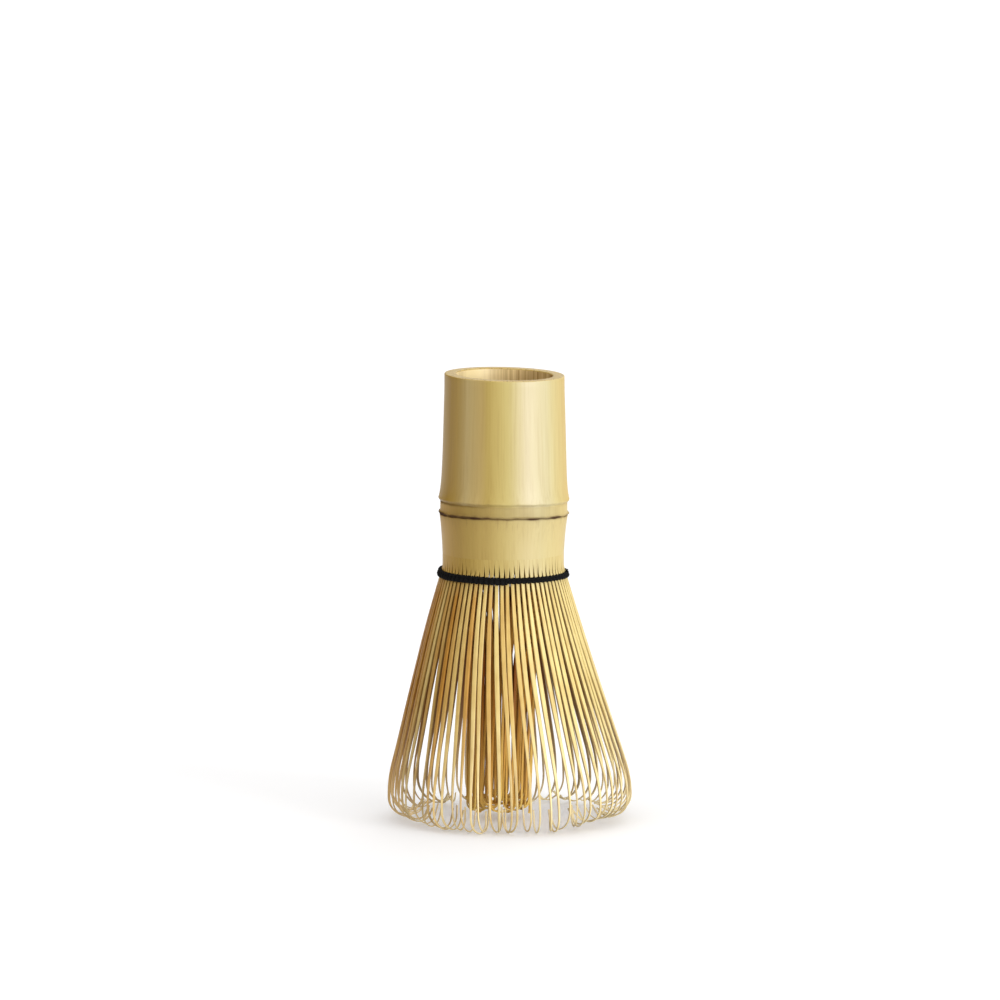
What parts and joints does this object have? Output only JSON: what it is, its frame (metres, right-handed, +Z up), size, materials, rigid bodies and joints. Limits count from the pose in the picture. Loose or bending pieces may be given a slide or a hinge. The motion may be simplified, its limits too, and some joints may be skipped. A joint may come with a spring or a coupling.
{
  "type": "bamboo tea whisk",
  "caption": "Bamboo tea whisk: open culm handle with a node, flared skirt of hooked outer tines round a tight inner bundle, bound by a woven black thread.",
  "frame": {"origin": "on the whisk's axis, on the surface that the outer tines stand on", "axes": "+Z up along the whisk's axis, from the tines to the open end of the handle; +X to the right of the front view; the front faces -Y"},
  "size_m": [0.0574, 0.0574, 0.106],
  "materials": {
    "bamboo_skin": "natural bamboo skin, satin, with fine lengthwise fibres and brown node scars",
    "bamboo_tine": "split and shaved bamboo, satin, pale gold",
    "bamboo_inner": "split and shaved bamboo, orange brown",
    "black_thread": "twisted black cotton thread, matt"
  },
  "bodies": {
    "handle": {"handle": "bamboo_skin", "thread_front": "black_thread", "thread_back": "black_thread", "thread_knot": "black_thread"},
    "outer_tines_01": {"outer_tines_01": "bamboo_tine"},
    "outer_tines_02": {"outer_tines_02": "bamboo_tine"},
    "outer_tines_03": {"outer_tines_03": "bamboo_tine"},
    "outer_tines_04": {"outer_tines_04": "bamboo_tine"},
    "outer_tines_05": {"outer_tines_05": "bamboo_tine"},
    "outer_tines_06": {"outer_tines_06": "bamboo_tine"},
    "outer_tines_07": {"outer_tines_07": "bamboo_tine"},
    "outer_tines_08": {"outer_tines_08": "bamboo_tine"},
    "outer_tines_09": {"outer_tines_09": "bamboo_tine"},
    "outer_tines_10": {"outer_tines_10": "bamboo_tine"},
    "outer_tines_11": {"outer_tines_11": "bamboo_tine"},
    "outer_tines_12": {"outer_tines_12": "bamboo_tine"},
    "outer_tines_13": {"outer_tines_13": "bamboo_tine"},
    "outer_tines_14": {"outer_tines_14": "bamboo_tine"},
    "outer_tines_15": {"outer_tines_15": "bamboo_tine"},
    "outer_tines_16": {"outer_tines_16": "bamboo_tine"},
    "outer_tines_17": {"outer_tines_17": "bamboo_tine"},
    "outer_tines_18": {"outer_tines_18": "bamboo_tine"},
    "outer_tines_19": {"outer_tines_19": "bamboo_tine"},
    "outer_tines_20": {"outer_tines_20": "bamboo_tine"},
    "outer_tines_21": {"outer_tines_21": "bamboo_tine"},
    "outer_tines_22": {"outer_tines_22": "bamboo_tine"},
    "outer_tines_23": {"outer_tines_23": "bamboo_tine"},
    "outer_tines_24": {"outer_tines_24": "bamboo_tine"},
    "outer_tines_25": {"outer_tines_25": "bamboo_tine"},
    "inner_tines_01": {"inner_tines_01": "bamboo_inner"},
    "inner_tines_02": {"inner_tines_02": "bamboo_inner"},
    "inner_tines_03": {"inner_tines_03": "bamboo_inner"},
    "inner_tines_04": {"inner_tines_04": "bamboo_inner"},
    "inner_tines_05": {"inner_tines_05": "bamboo_inner"},
    "inner_tines_06": {"inner_tines_06": "bamboo_inner"},
    "inner_tines_07": {"inner_tines_07": "bamboo_inner"},
    "inner_tines_08": {"inner_tines_08": "bamboo_inner"},
    "inner_tines_09": {"inner_tines_09": "bamboo_inner"},
    "inner_tines_10": {"inner_tines_10": "bamboo_inner"},
    "inner_tines_11": {"inner_tines_11": "bamboo_inner"},
    "inner_tines_12": {"inner_tines_12": "bamboo_inner"},
    "inner_tines_13": {"inner_tines_13": "bamboo_inner"},
    "inner_tines_14": {"inner_tines_14": "bamboo_inner"},
    "inner_tines_15": {"inner_tines_15": "bamboo_inner"}
  },
  "joints": [
    {"name": "outer_flex_01", "type": "hinge", "parent": "handle", "child": "outer_tines_01", "pos_m": [0.01433, 0, 0.0587], "axis": [0, -1, 0], "range_deg": [-3, 6], "stiffness_Nm_per_rad": 0.03},
    {"name": "outer_flex_02", "type": "hinge", "parent": "handle", "child": "outer_tines_02", "pos_m": [0.01388, 0.00357, 0.0587], "axis": [0.2487, -0.9686, 0], "range_deg": [-3, 6], "stiffness_Nm_per_rad": 0.03},
    {"name": "outer_flex_03", "type": "hinge", "parent": "handle", "child": "outer_tines_03", "pos_m": [0.01256, 0.0069, 0.0587], "axis": [0.4818, -0.8763, 0], "range_deg": [-3, 6], "stiffness_Nm_per_rad": 0.03},
    {"name": "outer_flex_04", "type": "hinge", "parent": "handle", "child": "outer_tines_04", "pos_m": [0.01045, 0.00981, 0.0587], "axis": [0.6845, -0.729, 0], "range_deg": [-3, 6], "stiffness_Nm_per_rad": 0.03},
    {"name": "outer_flex_05", "type": "hinge", "parent": "handle", "child": "outer_tines_05", "pos_m": [0.00768, 0.0121, 0.0587], "axis": [0.8443, -0.5358, 0], "range_deg": [-3, 6], "stiffness_Nm_per_rad": 0.03},
    {"name": "outer_flex_06", "type": "hinge", "parent": "handle", "child": "outer_tines_06", "pos_m": [0.00443, 0.01363, 0.0587], "axis": [0.9511, -0.309, 0], "range_deg": [-3, 6], "stiffness_Nm_per_rad": 0.03},
    {"name": "outer_flex_07", "type": "hinge", "parent": "handle", "child": "outer_tines_07", "pos_m": [0.0009, 0.01431, 0.0587], "axis": [0.998, -0.0628, 0], "range_deg": [-3, 6], "stiffness_Nm_per_rad": 0.03},
    {"name": "outer_flex_08", "type": "hinge", "parent": "handle", "child": "outer_tines_08", "pos_m": [-0.00269, 0.01408, 0.0587], "axis": [0.9823, 0.1874, 0], "range_deg": [-3, 6], "stiffness_Nm_per_rad": 0.03},
    {"name": "outer_flex_09", "type": "hinge", "parent": "handle", "child": "outer_tines_09", "pos_m": [-0.0061, 0.01297, 0.0587], "axis": [0.9048, 0.4258, 0], "range_deg": [-3, 6], "stiffness_Nm_per_rad": 0.03},
    {"name": "outer_flex_10", "type": "hinge", "parent": "handle", "child": "outer_tines_10", "pos_m": [-0.00914, 0.01104, 0.0587], "axis": [0.7705, 0.6374, 0], "range_deg": [-3, 6], "stiffness_Nm_per_rad": 0.03},
    {"name": "outer_flex_11", "type": "hinge", "parent": "handle", "child": "outer_tines_11", "pos_m": [-0.0116, 0.00843, 0.0587], "axis": [0.5878, 0.809, 0], "range_deg": [-3, 6], "stiffness_Nm_per_rad": 0.03},
    {"name": "outer_flex_12", "type": "hinge", "parent": "handle", "child": "outer_tines_12", "pos_m": [-0.01333, 0.00528, 0.0587], "axis": [0.3681, 0.9298, 0], "range_deg": [-3, 6], "stiffness_Nm_per_rad": 0.03},
    {"name": "outer_flex_13", "type": "hinge", "parent": "handle", "child": "outer_tines_13", "pos_m": [-0.01422, 0.0018, 0.0587], "axis": [0.1253, 0.9921, 0], "range_deg": [-3, 6], "stiffness_Nm_per_rad": 0.03},
    {"name": "outer_flex_14", "type": "hinge", "parent": "handle", "child": "outer_tines_14", "pos_m": [-0.01422, -0.0018, 0.0587], "axis": [-0.1253, 0.9921, 0], "range_deg": [-3, 6], "stiffness_Nm_per_rad": 0.03},
    {"name": "outer_flex_15", "type": "hinge", "parent": "handle", "child": "outer_tines_15", "pos_m": [-0.01333, -0.00528, 0.0587], "axis": [-0.3681, 0.9298, 0], "range_deg": [-3, 6], "stiffness_Nm_per_rad": 0.03},
    {"name": "outer_flex_16", "type": "hinge", "parent": "handle", "child": "outer_tines_16", "pos_m": [-0.0116, -0.00843, 0.0587], "axis": [-0.5878, 0.809, 0], "range_deg": [-3, 6], "stiffness_Nm_per_rad": 0.03},
    {"name": "outer_flex_17", "type": "hinge", "parent": "handle", "child": "outer_tines_17", "pos_m": [-0.00914, -0.01104, 0.0587], "axis": [-0.7705, 0.6374, 0], "range_deg": [-3, 6], "stiffness_Nm_per_rad": 0.03},
    {"name": "outer_flex_18", "type": "hinge", "parent": "handle", "child": "outer_tines_18", "pos_m": [-0.0061, -0.01297, 0.0587], "axis": [-0.9048, 0.4258, 0], "range_deg": [-3, 6], "stiffness_Nm_per_rad": 0.03},
    {"name": "outer_flex_19", "type": "hinge", "parent": "handle", "child": "outer_tines_19", "pos_m": [-0.00269, -0.01408, 0.0587], "axis": [-0.9823, 0.1874, 0], "range_deg": [-3, 6], "stiffness_Nm_per_rad": 0.03},
    {"name": "outer_flex_20", "type": "hinge", "parent": "handle", "child": "outer_tines_20", "pos_m": [0.0009, -0.01431, 0.0587], "axis": [-0.998, -0.0628, 0], "range_deg": [-3, 6], "stiffness_Nm_per_rad": 0.03},
    {"name": "outer_flex_21", "type": "hinge", "parent": "handle", "child": "outer_tines_21", "pos_m": [0.00443, -0.01363, 0.0587], "axis": [-0.9511, -0.309, 0], "range_deg": [-3, 6], "stiffness_Nm_per_rad": 0.03},
    {"name": "outer_flex_22", "type": "hinge", "parent": "handle", "child": "outer_tines_22", "pos_m": [0.00768, -0.0121, 0.0587], "axis": [-0.8443, -0.5358, 0], "range_deg": [-3, 6], "stiffness_Nm_per_rad": 0.03},
    {"name": "outer_flex_23", "type": "hinge", "parent": "handle", "child": "outer_tines_23", "pos_m": [0.01045, -0.00981, 0.0587], "axis": [-0.6845, -0.729, 0], "range_deg": [-3, 6], "stiffness_Nm_per_rad": 0.03},
    {"name": "outer_flex_24", "type": "hinge", "parent": "handle", "child": "outer_tines_24", "pos_m": [0.01256, -0.0069, 0.0587], "axis": [-0.4818, -0.8763, 0], "range_deg": [-3, 6], "stiffness_Nm_per_rad": 0.03},
    {"name": "outer_flex_25", "type": "hinge", "parent": "handle", "child": "outer_tines_25", "pos_m": [0.01388, -0.00357, 0.0587], "axis": [-0.2487, -0.9686, 0], "range_deg": [-3, 6], "stiffness_Nm_per_rad": 0.03},
    {"name": "inner_flex_01", "type": "hinge", "parent": "handle", "child": "inner_tines_01", "pos_m": [0.01212, 0.00051, 0.0587], "axis": [0.0419, -0.9991, 0], "range_deg": [0, 5], "stiffness_Nm_per_rad": 0.011},
    {"name": "inner_flex_02", "type": "hinge", "parent": "handle", "child": "inner_tines_02", "pos_m": [0.01086, 0.00539, 0.0587], "axis": [0.4446, -0.8957, 0], "range_deg": [0, 5], "stiffness_Nm_per_rad": 0.011},
    {"name": "inner_flex_03", "type": "hinge", "parent": "handle", "child": "inner_tines_03", "pos_m": [0.00773, 0.00935, 0.0587], "axis": [0.7705, -0.6374, 0], "range_deg": [0, 5], "stiffness_Nm_per_rad": 0.011},
    {"name": "inner_flex_04", "type": "hinge", "parent": "handle", "child": "inner_tines_04", "pos_m": [0.00326, 0.01168, 0.0587], "axis": [0.9632, -0.2689, 0], "range_deg": [0, 5], "stiffness_Nm_per_rad": 0.011},
    {"name": "inner_flex_05", "type": "hinge", "parent": "handle", "child": "inner_tines_05", "pos_m": [-0.00177, 0.012, 0.0587], "axis": [0.9893, 0.1461, 0], "range_deg": [0, 5], "stiffness_Nm_per_rad": 0.011},
    {"name": "inner_flex_06", "type": "hinge", "parent": "handle", "child": "inner_tines_06", "pos_m": [-0.0065, 0.01024, 0.0587], "axis": [0.8443, 0.5358, 0], "range_deg": [0, 5], "stiffness_Nm_per_rad": 0.011},
    {"name": "inner_flex_07", "type": "hinge", "parent": "handle", "child": "inner_tines_07", "pos_m": [-0.0101, 0.00671, 0.0587], "axis": [0.5534, 0.8329, 0], "range_deg": [0, 5], "stiffness_Nm_per_rad": 0.011},
    {"name": "inner_flex_08", "type": "hinge", "parent": "handle", "child": "inner_tines_08", "pos_m": [-0.01196, 0.00202, 0.0587], "axis": [0.1668, 0.986, 0], "range_deg": [0, 5], "stiffness_Nm_per_rad": 0.011},
    {"name": "inner_flex_09", "type": "hinge", "parent": "handle", "child": "inner_tines_09", "pos_m": [-0.01175, -0.00302, 0.0587], "axis": [-0.2487, 0.9686, 0], "range_deg": [0, 5], "stiffness_Nm_per_rad": 0.011},
    {"name": "inner_flex_10", "type": "hinge", "parent": "handle", "child": "inner_tines_10", "pos_m": [-0.00951, -0.00754, 0.0587], "axis": [-0.6211, 0.7837, 0], "range_deg": [0, 5], "stiffness_Nm_per_rad": 0.011},
    {"name": "inner_flex_11", "type": "hinge", "parent": "handle", "child": "inner_tines_11", "pos_m": [-0.00562, -0.01075, 0.0587], "axis": [-0.8862, 0.4633, 0], "range_deg": [0, 5], "stiffness_Nm_per_rad": 0.011},
    {"name": "inner_flex_12", "type": "hinge", "parent": "handle", "child": "inner_tines_12", "pos_m": [-0.00076, -0.01211, 0.0587], "axis": [-0.998, 0.0628, 0], "range_deg": [0, 5], "stiffness_Nm_per_rad": 0.011},
    {"name": "inner_flex_13", "type": "hinge", "parent": "handle", "child": "inner_tines_13", "pos_m": [0.00423, -0.01137, 0.0587], "axis": [-0.9373, -0.3486, 0], "range_deg": [0, 5], "stiffness_Nm_per_rad": 0.011},
    {"name": "inner_flex_14", "type": "hinge", "parent": "handle", "child": "inner_tines_14", "pos_m": [0.00849, -0.00867, 0.0587], "axis": [-0.7145, -0.6997, 0], "range_deg": [0, 5], "stiffness_Nm_per_rad": 0.011},
    {"name": "inner_flex_15", "type": "hinge", "parent": "handle", "child": "inner_tines_15", "pos_m": [0.01128, -0.00447, 0.0587], "axis": [-0.3681, -0.9298, 0], "range_deg": [0, 5], "stiffness_Nm_per_rad": 0.011}
  ]
}
